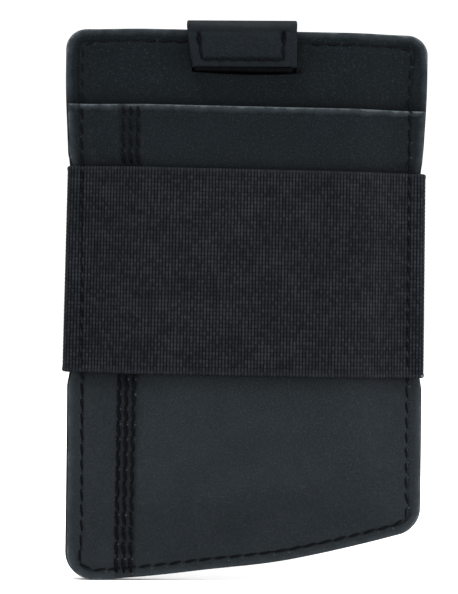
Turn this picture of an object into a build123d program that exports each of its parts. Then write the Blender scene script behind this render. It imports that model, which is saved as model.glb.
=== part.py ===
from build123d import *
import os
from math import atan, cos, floor

# Minimalist card wallet, in millimetres. X runs across it, Z runs up it and the
# front faces -Y. A depth is measured from the seam plane of the card pocket:
# positive depths are towards the front.

# Leather body
body_width = 69.85
body_height = 107.95
top_corner_radius = 4.0
low_corner_radius = 5.5
high_corner_radius = 5.1
bottom_rise = 11.3          # the bottom edge climbs this much from left to right
bottom_bow = 2.15           # and bows down by this much from a straight line
low_corner_drop = 0.3       # unrounded low corner, below the rounded outline
leather = 1.0
lining = 0.2
lining_setback = 0.3

# Seam margin, and the swell that gives the pockets their room
seam_margin = 4.5
swell_run = 5.0
pocket_room = 5.7           # lining to lining in the middle of the card pocket
slot_room = 0.4             # behind the front pocket's leather
mouth_drop = 14.4           # front pocket's mouth, below the top edge
front_pocket_trim = 0.35    # the front pocket is this much narrower at each side

# Elastic band
band_height = 40.0
band_drop = 27.0            # top of the band, below the top edge of the body
elastic = 0.9
band_pinch = 0.725          # how far the band pulls each side of the body in
band_gap = 0.05
band_lift = 0.35            # room for the accent threads under the band
band_back_lift = 0.1
band_lap = 6.0              # the ends of the elastic overlap on the right seam margin

# Pull strap and tab
strap = 0.6
strap_width = 19.0
strap_gap = 0.1
strap_side_gap = 0.4
strap_centre_x = -1.2
strap_travel = 36.0
strap_joint_gap = 0.05
fold_height = 22.0          # middle of the fold that the cards stand on
fold_stub = 3.0
slit_drop = 9.75            # lip of the slit, below the top edge
anchor_height = 9.0
anchor_drop = 5.0
tab_width = 20.9
tab_height = 9.7
tab_above_top = 1.95
tab_leather = 0.9
tab_gap = 0.15
tab_corner_radius = 0.8
hinge_below_tab = 0.4

# Threads
thread_width = 0.5
thread_height = 0.3
stitch_pitch = 3.0
stitch_length = 2.3
stitch_inset = 2.5
accent_x = -23.4
accent_spacing = 1.4
accent_pitch = 3.04
seam_crossing = 1.9         # no accent bar this near to the seam thread that it crosses
tab_stitch_inset = 1.9
tab_stitch_pitch = 2.9
anchor_stitch_inset = 1.5

# Sizes that follow from the ones above
half_width = body_width / 2
mouth_z = body_height - mouth_drop
band_top = body_height - band_drop
band_bottom = band_top - band_height
band_inner_half = half_width - band_pinch
swell = pocket_room / 2
card_face = lining + leather
pocket_face = card_face + leather
slot_swell = swell + slot_room
chord_slope = (bottom_rise + low_corner_drop) / body_width
slant = atan(chord_slope)
strap_front = swell - strap_gap
strap_back = strap_front - strap
slit_z = body_height - slit_drop
window_width = strap_width + 2 * strap_side_gap
recess = card_face + strap + 2 * strap_gap
plateau_face = card_face + swell
tab_back = plateau_face + tab_gap
tab_web_back = tab_back + tab_leather
tab_web_front = tab_web_back + strap
tab_front = tab_web_front + tab_leather
tab_top = body_height + tab_above_top
tab_bottom = tab_top - tab_height
hinge_z = tab_bottom - hinge_below_tab
leg_bottom = slit_z - strap_travel - 2.0
anchor_top = body_height - anchor_drop
anchor_bottom = anchor_top - anchor_height
band_front_face = pocket_face + slot_swell + band_lift + elastic
band_back_face = card_face + swell + band_back_lift + elastic
shift_y = (band_front_face - band_back_face) / 2


def at_depth(depth):
    """Drawing plane across the wallet at a depth; an extrusion from it goes forwards."""
    return Plane.XZ.offset(depth)


def block(x_range, depth_range, z_range):
    """Rectangular block between two x, two depths and two heights."""
    size_x = x_range[1] - x_range[0]
    size_z = z_range[1] - z_range[0]
    centre = Pos((x_range[0] + x_range[1]) / 2, (z_range[0] + z_range[1]) / 2)
    return extrude(at_depth(depth_range[0]) * centre * Rectangle(size_x, size_z),
                   depth_range[1] - depth_range[0])


def outline(width, top, top_radius):
    """Front outline: straight sides and top, and a slanted, bowed bottom edge."""
    half = width / 2
    left = -low_corner_drop + chord_slope * (half_width - half)
    right = -low_corner_drop + chord_slope * (half_width + half)
    sides = Polyline((half, right), (half, top), (-half, top), (-half, left))
    face = make_face(sides + SagittaArc((-half, left), (half, right), -bottom_bow))
    corners = face.vertices().sort_by(Axis.Y)
    shape = fillet(corners[0], low_corner_radius)
    shape = fillet(shape.vertices().filter_by(lambda v: v.X > half - 0.01).sort_by(Axis.Y)[0],
                   high_corner_radius)
    if top_radius > 0:
        shape = fillet(shape.vertices().sort_by(Axis.Y)[-2:], top_radius)
    return shape


def swell_outline(inset):
    """Edge of the swell, parallel to the sides and the bottom; it runs out at the top."""
    half = half_width - inset
    over_top = body_height + 2 * swell_run
    low = [-low_corner_drop + chord_slope * (half_width + x) + inset / cos(slant)
           for x in (-half, half)]
    return make_face(Polyline((-half, low[0]), (half, low[1]), (half, over_top),
                              (-half, over_top), close=True))


def swollen(depth, rise):
    """Everything behind a swollen surface whose margin lies at this depth."""
    foot = at_depth(depth) * swell_outline(seam_margin)
    crown = at_depth(depth + rise) * swell_outline(seam_margin + swell_run)
    slab = block((-body_width, body_width), (-swell, depth), (-body_height, 2 * body_height))
    return slab + loft([foot, crown], ruled=True)


def wall(depth, thickness, rise, shape):
    """A dished sheet of one thickness, cut to a front outline."""
    sheet = swollen(depth + thickness, rise) - swollen(depth, rise)
    return sheet & extrude(at_depth(-swell) * shape, swell + depth + thickness + rise)


def bottom_edge(x):
    """Height of the bowed bottom edge at x, between its rounded corners."""
    bow = bottom_bow * (1 - (x / half_width) ** 2)
    return chord_slope * (half_width + x) - low_corner_drop - bow


def swell_share(x, z):
    """How far up the swell a point of a sheet lies, from 0 in the margin to 1."""
    to_side = half_width - abs(x)
    to_bottom = (z + low_corner_drop - chord_slope * (half_width + x)) * cos(slant)
    return min(1, max(0, (min(to_side, to_bottom) - seam_margin) / swell_run))


def pinched(sheet):
    """Cut back a sheet's sides where the band pulls them in."""
    for side in (-1, 1):
        outer = sorted((side * (band_inner_half - band_gap), side * body_width))
        sheet -= block(outer, (-2 * swell, 3 * swell),
                       (band_bottom - band_gap, band_top + band_gap))
    return sheet


def ribbon(points, thickness):
    """Closed polygon round a line of points, with mitred corners and square ends."""
    line = [Vector(*p) for p in points]
    runs = [(b - a).normalized() for a, b in zip(line, line[1:])]
    left, right = [], []
    for index, point in enumerate(line):
        before = runs[max(index - 1, 0)]
        after = runs[min(index, len(runs) - 1)]
        middle = (before + after).normalized()
        across = Vector(-middle.Y, middle.X) * (thickness / 2 / middle.dot(before))
        left.append(point + across)
        right.append(point - across)
    return Polyline(*left, *reversed(right), close=True)


def strap_piece(points):
    """A length of strap, from its line of (depth, height) points."""
    face = make_face(ribbon([(-depth, z) for depth, z in points], strap))
    start = strap_centre_x - strap_width / 2
    return extrude(Plane.YZ.offset(start) * face, strap_width)


def stitch(start, end, outward, length):
    """One thread bar lying on a surface between two of its holes."""
    run = (end - start).normalized()
    normal = (outward - run * outward.dot(run)).normalized()
    place = Plane(origin=(start + end) / 2, x_dir=run, z_dir=normal)
    return extrude(place * SlotOverall(length, thread_width), thread_height)


def stitch_row(points, depth_at, side):
    """Stitches between points (x, z), lifted clear of the surface at depth_at(x, z)."""
    bars = []
    for a, b in points:
        ends = [Vector(x, -side * depth_at(x, z), z) for x, z in (a, b)]
        lift = 0
        for share in (i / 20 for i in range(1, 20)):
            x, z = (a[0] + (b[0] - a[0]) * share, a[1] + (b[1] - a[1]) * share)
            chord = depth_at(*a) + (depth_at(*b) - depth_at(*a)) * share
            lift = max(lift, depth_at(x, z) - chord)
        rise = Vector(0, -side * lift, 0)
        reach = min(stitch_length, (ends[1] - ends[0]).length * 0.8)
        bars.append(stitch(ends[0] + rise, ends[1] + rise, Vector(0, -side, 0), reach))
    return bars


def in_band(z):
    reach = stitch_length / 2 + 2 * band_gap
    return band_bottom - reach < z < band_top + reach


def pocket_depth(x, z):
    """Front face of the front pocket."""
    return pocket_face + slot_swell * swell_share(x, z)


def margin_depth_front(x, z):
    """Front face of the seam margin: band, front pocket or card pocket."""
    if in_band(z):
        return pocket_face + band_gap + elastic
    if z < mouth_z + stitch_length / 2:
        return pocket_depth(x, z)
    return card_face + swell * swell_share(x, z)


def margin_depth_back(x, z):
    """Back face of the seam margin, with the band's lap on the right side."""
    if in_band(z):
        return card_face + band_gap + (2 * elastic if x > 0 else elastic)
    return card_face + swell * swell_share(x, z)


# Leather sheets and linings
body_outline = outline(body_width, body_height, top_corner_radius)
lining_outline = outline(body_width - 2 * lining_setback, body_height - lining_setback,
                         top_corner_radius)
front_outline = outline(body_width - 2 * front_pocket_trim, mouth_z, 0)

window_left = strap_centre_x - window_width / 2
window_right = strap_centre_x + window_width / 2
above_top = body_height + leather

card_panel = wall(lining, leather, swell, body_outline)
card_panel -= block((window_left, window_right), (swell, plateau_face + leather),
                    (slit_z, above_top))
strip_face = plateau_face - recess
card_panel += block((window_left - leather, window_right + leather),
                    (strip_face - leather, strip_face), (slit_z, body_height))
for edge in (window_left - leather, window_right):
    card_panel += block((edge, edge + leather), (strip_face - leather, plateau_face),
                        (slit_z, body_height))

card_lining = wall(0, lining, swell, lining_outline)
card_lining -= block((window_left - leather - band_gap, window_right + leather + band_gap),
                     (0, plateau_face), (slit_z - band_gap, above_top))
card_lining -= block((window_left, window_right), (0, plateau_face),
                     (slit_z - leather, above_top))

back_panel = mirror(wall(lining, leather, swell, body_outline), about=Plane.XZ)
back_lining = mirror(wall(0, lining, swell, lining_outline), about=Plane.XZ)
front_panel = wall(card_face, leather, slot_swell, front_outline)

# Elastic band: one closed loop with a lapped joint on the right back margin
slope_foot = half_width - seam_margin + band_lift
slope_crown = half_width - seam_margin - swell_run + band_lift / 2
front_margin = pocket_face + band_gap
front_crown = pocket_face + slot_swell + band_lift
back_margin = card_face + band_gap
back_crown = card_face + swell + band_back_lift
front_half = [(band_inner_half, -front_margin), (slope_foot, -front_margin),
              (slope_crown, -front_crown)]
back_half = [(-slope_crown, back_crown), (-slope_foot, back_margin),
             (-band_inner_half, back_margin)]
loop = front_half + [(-x, y) for x, y in reversed(front_half)]
loop += list(reversed(back_half)) + [(-x, y) for x, y in back_half]
inner_loop = make_face(Polyline(*loop, close=True))
outer_loop = offset(inner_loop, elastic, kind=Kind.ARC)
band_base = Plane.XY.offset(band_bottom)
elastic_band = extrude(band_base * (outer_loop - inner_loop), band_height)
elastic_band += block((band_inner_half - band_lap + elastic, band_inner_half),
                      (-back_margin - 2 * elastic, -back_margin - elastic),
                      (band_bottom, band_top))

# Threads round the edge
edge_wire = offset(body_outline, -stitch_inset, kind=Kind.ARC).face().outer_wire()
edge_count = round(edge_wire.length / stitch_pitch)
edge_points = [edge_wire.position_at(i / edge_count) for i in range(edge_count + 1)]
edge_steps = [((a.X, a.Y), (b.X, b.Y)) for a, b in zip(edge_points, edge_points[1:])]
top_line = body_height - stitch_inset - 0.01
top_steps = [step for step in edge_steps if min(step[0][1], step[1][1]) > top_line]
seam_steps = [step for step in edge_steps if step not in top_steps]
tab_reach = max(window_width / 2 + leather, tab_width / 2) + stitch_length / 2
front_top_steps = [step for step in top_steps
                   if abs((step[0][0] + step[1][0]) / 2 - strap_centre_x) > tab_reach]

seam_thread_front = stitch_row(seam_steps, margin_depth_front, 1)
seam_thread_back = stitch_row(seam_steps, margin_depth_back, -1)
card_pocket_top_thread = stitch_row(front_top_steps, margin_depth_front, 1)
back_top_thread = stitch_row(top_steps, margin_depth_back, -1)

# Three rows of accent stitching, on the front pocket only
accent_threads = []
for row in (-1, 0, 1):
    row_x = accent_x + row * accent_spacing
    lowest = bottom_edge(row_x)
    count = floor((mouth_z - lowest - thread_width) / accent_pitch)
    heights = [mouth_z - thread_width / 2 - i * accent_pitch for i in range(count + 1)]
    steps = [((row_x, a), (row_x, b)) for a, b in zip(heights, heights[1:])]
    seam_z = lowest + stitch_inset
    steps = [s for s in steps if abs((s[0][1] + s[1][1]) / 2 - seam_z) > seam_crossing]
    accent_threads.append(stitch_row(steps, pocket_depth, 1))

# Pull strap: one webbing, in lengths that end where it bends or is sewn
middle_front = (strap_front + strap_back) / 2
middle_tab = (tab_web_front + tab_web_back) / 2
bend_low = slit_z + strap * 0.75
bend_high = hinge_z - strap
strap_leg = strap_piece([(middle_front, leg_bottom), (middle_front, bend_low),
                         (middle_tab, bend_high), (middle_tab, hinge_z)])
strap_tab_end = strap_piece([(middle_tab, hinge_z + strap_joint_gap),
                             (middle_tab, tab_top - tab_leather - strap)])
run_bottom = fold_height + fold_stub
strap_front_run = strap_piece([(middle_front, run_bottom + strap_joint_gap),
                               (middle_front, leg_bottom - strap_joint_gap)])
strap_rear_run = strap_piece([(-middle_front, run_bottom + strap_joint_gap),
                              (-middle_front, anchor_bottom - strap_joint_gap)])
strap_anchor = strap_piece([(-middle_front - strap_gap, anchor_bottom),
                            (-middle_front - strap_gap, anchor_top)])
fold_ring = Circle(strap_front) - Circle(strap_back)
fold_half = fold_ring & Pos(0, -strap_front) * Rectangle(4 * strap_front, 2 * strap_front)
strap_left = strap_centre_x - strap_width / 2
strap_fold = extrude(Plane.YZ.offset(strap_left) * Pos(0, fold_height) * fold_half,
                     strap_width)
for side in (-1, 1):
    strap_fold += strap_piece([(side * middle_front, fold_height),
                               (side * middle_front, run_bottom)])

# The strap's sewn end: a box of stitches on the strap, inside the pocket
box_left = strap_left + anchor_stitch_inset
box_right = box_left + strap_width - 2 * anchor_stitch_inset
box_low = anchor_bottom + anchor_stitch_inset
box_high = anchor_top - anchor_stitch_inset


def divided(start, end, pitch):
    """Equal steps near a pitch, between two points (x, z)."""
    length = ((end[0] - start[0]) ** 2 + (end[1] - start[1]) ** 2) ** 0.5
    count = max(1, round(length / pitch))
    marks = [tuple(s + (e - s) * i / count for s, e in zip(start, end))
             for i in range(count + 1)]
    return list(zip(marks, marks[1:]))


corners = [(box_left, box_low), (box_right, box_low), (box_right, box_high),
           (box_left, box_high), (box_left, box_low)]
box_steps = [step for a, b in zip(corners, corners[1:]) for step in divided(a, b, stitch_pitch)]
strap_anchor_thread = stitch_row(box_steps, lambda x, z: -(strap_back + strap_gap), 1)

# Tab: a leather strip folded over the strap's end
fold_radius = (tab_front - tab_back) / 2
tab_middle = (tab_front + tab_back) / 2
roll_z = tab_top - fold_radius
left_edge = strap_centre_x - tab_width / 2
tab_section = (Pos(-tab_middle, roll_z) * Circle(fold_radius)
               + Pos(-tab_middle, (tab_bottom + roll_z) / 2)
               * Rectangle(2 * fold_radius, roll_z - tab_bottom))
web_room = (Pos(-tab_middle, (tab_bottom + roll_z) / 2)
            * Rectangle(strap, roll_z - tab_bottom)
            + Pos(-tab_middle, roll_z) * Circle(strap / 2))
pull_tab = extrude(Plane.YZ.offset(left_edge) * (tab_section - web_room), tab_width)
low_corners = pull_tab.edges().filter_by(Axis.Y).group_by(Axis.Z)[0]
pull_tab = fillet(low_corners, tab_corner_radius)

u_left = left_edge + tab_stitch_inset
u_right = left_edge + tab_width - tab_stitch_inset
u_low = tab_bottom + tab_stitch_inset
u_high = roll_z - thread_width
u_corners = [(u_left, u_high), (u_left, u_low), (u_right, u_low), (u_right, u_high)]
u_steps = [step for a, b in zip(u_corners, u_corners[1:])
           for step in divided(a, b, tab_stitch_pitch)]
tab_thread = stitch_row(u_steps, lambda x, z: tab_front, 1)
tack_half = thread_width * 1.2
tab_tack_threads = []
for x in (u_left, u_right):
    for sign in (-1, 1):
        offset_x = x + sign * tack_half
        step = ((offset_x, u_high), (offset_x, u_high - tab_stitch_pitch * 0.8))
        tab_tack_threads += stitch_row([step], lambda x, z: tab_front, 1)

nodes = {
    "back_panel": pinched(back_panel),
    "back_lining": pinched(back_lining),
    "card_pocket_panel": pinched(card_panel),
    "card_pocket_lining": pinched(card_lining),
    "front_pocket_panel": pinched(front_panel),
    "elastic_band": elastic_band,
    "seam_thread_front": seam_thread_front,
    "seam_thread_back": seam_thread_back,
    "card_pocket_top_thread": card_pocket_top_thread,
    "back_top_thread": back_top_thread,
    "accent_thread_left": accent_threads[0],
    "accent_thread_middle": accent_threads[1],
    "accent_thread_right": accent_threads[2],
    "strap_leg": strap_leg,
    "strap_tab_end": strap_tab_end,
    "strap_front_run": strap_front_run,
    "strap_fold": strap_fold,
    "strap_rear_run": strap_rear_run,
    "strap_anchor": strap_anchor,
    "strap_anchor_thread": strap_anchor_thread,
    "pull_tab": pull_tab,
    "tab_thread": tab_thread,
    "tab_tack_threads": tab_tack_threads,
}

os.makedirs("parts", exist_ok=True)
for name, shape in nodes.items():
    solids = [s for item in (shape if isinstance(shape, list) else [shape])
              for s in item.solids()]
    whole = Compound(children=solids) if len(solids) > 1 else solids[0]
    export_step(Pos(0, shift_y, 0) * whole, f"parts/{name}.step")
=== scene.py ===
import bpy
import bmesh
import math
import random
from mathutils import Matrix, Quaternion, Vector


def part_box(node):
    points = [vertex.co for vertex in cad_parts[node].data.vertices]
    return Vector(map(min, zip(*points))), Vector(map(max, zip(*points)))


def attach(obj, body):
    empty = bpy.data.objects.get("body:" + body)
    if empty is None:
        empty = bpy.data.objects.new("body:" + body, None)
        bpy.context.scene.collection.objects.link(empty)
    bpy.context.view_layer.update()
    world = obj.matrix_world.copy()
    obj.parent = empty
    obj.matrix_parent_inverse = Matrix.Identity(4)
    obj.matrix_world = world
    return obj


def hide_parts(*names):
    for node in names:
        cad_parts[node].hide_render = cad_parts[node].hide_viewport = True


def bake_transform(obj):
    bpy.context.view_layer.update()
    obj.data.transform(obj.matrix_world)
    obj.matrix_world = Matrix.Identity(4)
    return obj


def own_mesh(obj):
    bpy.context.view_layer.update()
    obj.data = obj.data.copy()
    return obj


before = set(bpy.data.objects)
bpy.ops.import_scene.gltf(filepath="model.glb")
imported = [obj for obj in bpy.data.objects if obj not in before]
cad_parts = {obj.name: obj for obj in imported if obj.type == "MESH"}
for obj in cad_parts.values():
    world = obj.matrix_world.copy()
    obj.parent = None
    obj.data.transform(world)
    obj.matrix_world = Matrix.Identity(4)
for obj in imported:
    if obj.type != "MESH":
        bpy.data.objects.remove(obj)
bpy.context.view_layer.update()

mm = 0.001
random.seed(7)


def boxOf(node):
    low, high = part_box(node)
    return Vector(low) / mm, Vector(high) / mm


backLow, backHigh = boxOf("back_panel")
cardLow, cardHigh = boxOf("card_pocket_panel")
frontLow, frontHigh = boxOf("front_pocket_panel")
bandLow, bandHigh = boxOf("elastic_band")
tabLow, tabHigh = boxOf("pull_tab")
legLow, legHigh = boxOf("strap_leg")
foldLow, foldHigh = boxOf("strap_fold")
anchorLow, anchorHigh = boxOf("strap_anchor")

# Depths are in mm from the pocket's seam plane, positive to the front
seamY = (backLow.y + cardHigh.y) / 2
halfBody = backHigh.x
topZ = backHigh.z
middleZ = 54.0
noSeam = 9.0  # a seam distance that is out of reach
mouthZ = frontHigh.z - 0.33  # the sewn mouth sits a little under its pattern's
lining = seamY - cardHigh.y
leather = cardHigh.y - frontHigh.y
cardMargin = lining + leather
pocketMargin = cardMargin + leather
cardCrown = seamY - cardLow.y
pocketCrown = seamY - frontLow.y
bandFrontCrown = seamY - bandLow.y
bandBackCrown = bandHigh.y - seamY

wallet = {
    "lowCorner": 5.5, "highCorner": 5.1, "topCorner": 4.0,
    "bottomClimb": 11.6, "bottomBow": 2.15, "bottomSag": 0.75, "sagRun": 20.0, "cornerDrop": 0.3,
    "swellMargin": 3.6, "swellRun": 12.0,
    "rounding": 0.4, "mouthRounding": 0.3,
    "grid": 0.55, "cardGrid": 0.5, "backGrid": 0.62, "liningGrid": 1.4,
    "hiddenGrid": 2.5, "hiddenRows": 4.0,
    "splitZ": 27.0, "lowSpan": 21.0,  # rows fan up from the foot as far as splitZ
    "keptNap": 0.22, "topKeptNap": 0.08, "cornerRub": 0.35, "rubReach": 9.0, "mouthStrip": 1.5,
    "mouthDroop": 0.3, "droopRun": 50.0,
}


def clamp(t):
    return min(1.0, max(0.0, t))


def smooth(t):
    t = clamp(t)
    return t * t * (3 - 2 * t)


def mix(a, b, t):
    return a + (b - a) * t


# The wallet's outline, in mm

def bottomLine(x):
    share = (x + halfBody) / (2 * halfBody)
    bow = wallet["bottomBow"] * (1 - (x / halfBody) ** 2)
    sag = wallet["bottomSag"] * smooth(x / wallet["sagRun"] + 0.5)
    return wallet["bottomClimb"] * share - wallet["cornerDrop"] - bow - sag


def bottomSlope(x):
    return wallet["bottomClimb"] / (2 * halfBody) + 2 * wallet["bottomBow"] * x / halfBody ** 2


def lowCorner(side, half):
    radius = wallet["lowCorner"] if side < 0 else wallet["highCorner"]
    x = side * (half - radius)
    angle = math.atan(bottomSlope(x))
    return x, bottomLine(x) + radius / math.cos(angle), radius, angle


def lowEdge(x, half):
    for side in (-1, 1):
        cornerX, cornerZ, radius, angle = lowCorner(side, half)
        if side * (x - cornerX - radius * math.sin(angle)) > 0:
            return cornerZ - math.sqrt(max(0.0, radius ** 2 - (x - cornerX) ** 2))
    return bottomLine(x)


def highEdge(x, top, half, radius):
    over = abs(x) - (half - radius)
    if over <= 0 or radius == 0:
        return top
    return top - radius + math.sqrt(max(0.0, radius ** 2 - over ** 2))


def rimDistance(x, z, top, half, radius):
    slope = bottomSlope(x)
    near = min(half - abs(x), top - z, (z - bottomLine(x)) / math.sqrt(1 + slope * slope))
    if radius > 0 and abs(x) > half - radius and z > top - radius:
        near = min(near, radius - math.hypot(abs(x) - half + radius, z - top + radius))
    for side in (-1, 1):
        cornerX, cornerZ, cornerRadius, angle = lowCorner(side, half)
        past = side * ((x - cornerX) * math.cos(angle) + (z - cornerZ) * math.sin(angle))
        if past > 0 and z < cornerZ:
            near = min(near, cornerRadius - math.hypot(x - cornerX, z - cornerZ))
    return near


def swellShare(x, z):
    margin, run = wallet["swellMargin"], wallet["swellRun"]
    toSide = halfBody - abs(x)
    toBottom = z - bottomLine(x)
    return smooth((toSide - margin) / run) * smooth((toBottom - margin) / run)


# Insets at the top, and how far each side's drifts by the foot
seamLine = {"left": (2.3, 1.2), "right": (3.05, -0.45), "top": 2.35, "foot": 2.0,
            "turnFrom": 2.0, "turnRun": 6.0, "grooveDepth": 0.24, "grooveWidth": 0.45, "pitch": 2.98}


def seamInset(x, z):
    start, drift = seamLine["left"] if x < 0 else seamLine["right"]
    side = start + drift * (1 - z / topZ)
    turned, run = seamLine["turnFrom"], seamLine["turnRun"]
    inset = mix(seamLine["top"], side, smooth((topZ - z - turned) / run))
    return mix(seamLine["foot"], inset, smooth((z - bottomLine(x) - turned) / run))


def seamDistance(x, z):
    return rimDistance(x, z, topZ, halfBody, wallet["topCorner"]) - seamInset(x, z)


pull = {"bandReach": 3.0, "bandRun": 3.5, "drawnIn": 0.019, "drawnRun": 30.0,
        "spread": 0.018, "spreadRun": 18.0, "ease": 0.003,
        "footLean": 0.35, "topLean": -0.12, "leanFrom": 20.0, "leanRun": 70.0}


# The band draws both sides of the leather in, the top spreads, and the foot leans right
def pinch(x, z):
    fromLow, fromHigh = z - bandLow.z + pull["bandReach"], bandHigh.z + pull["bandReach"] - z
    share = smooth(fromLow / pull["bandRun"]) * smooth(fromHigh / pull["bandRun"])
    drawn = pull["drawnIn"] * share * smooth(abs(x) / pull["drawnRun"])
    widened = pull["spread"] * smooth((z - bandHigh.z) / pull["spreadRun"])
    lean = mix(pull["footLean"], pull["topLean"], smooth((z - pull["leanFrom"]) / pull["leanRun"]))
    return x * (1 + widened + pull["ease"] - drawn) + lean


# Surfaces of the layers, as depths

slit = {
    "x": -0.6, "z": 99.7, "half": 10.35,
    "recessX": -0.83, "recessHalf": 10.03, "flank": 0.15, "recess": 2.0,
    "lip": 0.5, "lipX": 0.6, "lipHalf": 12.55, "lipFlank": 4.0, "lipReach": 3.5,
    "sag": 0.42, "sagReach": 3.0, "onLine": 0.02,
    "puckerX": 9.75, "puckerWidth": 0.35,
}


# Above the slit the leather lies behind the strap, and below it the lip stands out
def slitShift(x, z, above):
    across = smooth((slit["recessHalf"] - abs(x - slit["recessX"])) / slit["flank"])
    if above:
        return -slit["recess"] * across
    lip = smooth((slit["lipHalf"] - abs(x - slit["lipX"])) / slit["lipFlank"])
    return slit["lip"] * lip * smooth(1 - (slit["z"] - z) / slit["lipReach"])


def seamGroove(x, z):
    return -seamLine["grooveDepth"] * math.exp(-((seamDistance(x, z) / seamLine["grooveWidth"]) ** 2))


accents = {"x": -22.85, "lean": -0.005, "spacing": 1.4, "pitch": 2.95, "depth": 0.1, "width": 0.35,
           "swathDepth": 0.08, "swathWidth": 2.2, "swathShade": 0.34, "swathHalf": 2.5, "swathFlank": 0.9}


def accentX(row, z):
    return accents["x"] + row * accents["spacing"] + accents["lean"] * (mouthZ - z)


def accentGroove(x, z):
    rows = (math.exp(-(((x - accentX(row, z)) / accents["width"]) ** 2)) for row in (-1, 0, 1))
    swath = smooth(1.5 - abs(x - accentX(0, z)) / accents["swathWidth"])
    return -accents["depth"] * sum(rows) - accents["swathDepth"] * swath


mouth = {"plump": 0.09, "plumpAt": 0.6, "plumpRun": 0.8,
         "line": 0.12, "lineAt": 1.5, "lineWidth": 0.3, "lap": 0.1}


# A pressed line below the pocket's cut edge, with the strip above it plumped up
def mouthCrease(z):
    below = mouthZ - z
    plump = mouth["plump"] * smooth(1 - abs(below - mouth["plumpAt"]) / mouth["plumpRun"])
    return plump - mouth["line"] * math.exp(-(((below - mouth["lineAt"]) / mouth["lineWidth"]) ** 2))


def cardFace(x, z, above=None):
    above = z > slit["z"] if above is None else above
    depth = cardMargin + (cardCrown - cardMargin) * swellShare(x, z) + seamGroove(x, z)
    return depth + slitShift(x, z, above)


def pocketFace(x, z):
    depth = pocketMargin + (pocketCrown - pocketMargin) * swellShare(x, z)
    return depth + seamGroove(x, z) + accentGroove(x, z) + mouthCrease(z)


def backFace(x, z):
    return cardMargin + (cardCrown - cardMargin) * swellShare(x, z) + seamGroove(x, z)


# The seam's stitches show through as a dip; leftOut and rightOut are at the band's top and foot
band = {"thickness": 0.85, "lift": 0.95, "swellMargin": 2.6, "swellRun": 12.6,
        "dip": 0.14, "dipX": 32.2, "dipWidth": 0.7,
        "edge": 33.2, "round": 1.9, "rounding": 0.35,
        "selvage": 1.0, "selvageRelief": 0.1, "rowRelief": 0.045,
        "leftOut": (-0.05, -0.6), "rightOut": (0.3, 0.5), "tilt": 0.5, "tiltPivot": 0.25, "footDrop": 0.28,
        "rowStep": 0.1925, "columnStep": 0.9, "fineColumns": 5.2, "endStep": 0.5}


def bandDepth(x, margin, crown):
    raised = margin + band["lift"]
    share = smooth((halfBody - abs(x) - band["swellMargin"]) / band["swellRun"])
    dip = band["dip"] * math.exp(-(((abs(x) - band["dipX"]) / band["dipWidth"]) ** 2))
    return raised + (crown - raised) * share - dip


def bandFront(x):
    return bandDepth(x, pocketMargin, bandFrontCrown)


def bandBack(x):
    return bandDepth(x, cardMargin, bandBackCrown)


lap = {"low": 28.6, "high": 34.2, "inset": 0.15, "lift": 0.8, "thickness": 0.75, "rounding": 0.3,
       "shift": 0.1, "seamFrom": 28.0, "step": 0.4, "rowStep": 0.5, "endStep": 0.45}


def frontmost(x, z):
    if bandLow.z < z < bandHigh.z:
        return bandFront(x)
    return pocketFace(x, z) if z < mouthZ - mouth["lap"] else cardFace(x, z)


def backmost(x, z):
    if bandLow.z < z < bandHigh.z:
        return bandBack(x) + (lap["lift"] if x > lap["seamFrom"] else 0)
    return backFace(x, z)


# Shader groups: what several finishes share

def feed(tree, node, inputs):
    for key, value in inputs.items():
        if isinstance(value, bpy.types.NodeSocket):
            tree.links.new(value, node.inputs[key])
        else:
            node.inputs[key].default_value = value
    return node


def addNode(tree, kind, inputs=None, **settings):
    node = tree.nodes.new("ShaderNode" + kind)
    for name, value in settings.items():
        setattr(node, name, value)
    return feed(tree, node, inputs or {})


def maths(tree, operation, a, b=0.0, c=None):
    inputs = {0: a, 1: b}
    if c is not None:
        inputs[2] = c
    return addNode(tree, "Math", inputs, operation=operation).outputs[0]


def ramp(tree, value, low, high):
    node = addNode(tree, "MapRange", {"Value": value, "From Min": low, "From Max": high},
                   interpolation_type="SMOOTHSTEP")
    return node.outputs["Result"]


# Sockets 0, 6 and 7 of a colour Mix are its factor and two colours, and output 2 is the result
def blendColour(tree, factor, a, b, blend="MIX"):
    a, b = ((*value, 1) if isinstance(value, tuple) else value for value in (a, b))
    node = addNode(tree, "Mix", data_type="RGBA", blend_type=blend)
    return feed(tree, node, {0: factor, 6: a, 7: b}).outputs[2]


def newGroup(name, inputs, outputs):
    group = bpy.data.node_groups.new(name, "ShaderNodeTree")
    for socketName, kind, value in inputs:
        socket = group.interface.new_socket(name=socketName, in_out="INPUT", socket_type="NodeSocket" + kind)
        if value is not None:
            socket.default_value = value
    for socketName in outputs:
        group.interface.new_socket(name=socketName, in_out="OUTPUT", socket_type="NodeSocketFloat")
    return group, group.nodes.new("NodeGroupInput"), group.nodes.new("NodeGroupOutput")


def useGroup(tree, group, inputs):
    return feed(tree, addNode(tree, "Group", node_tree=group), inputs)


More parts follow.
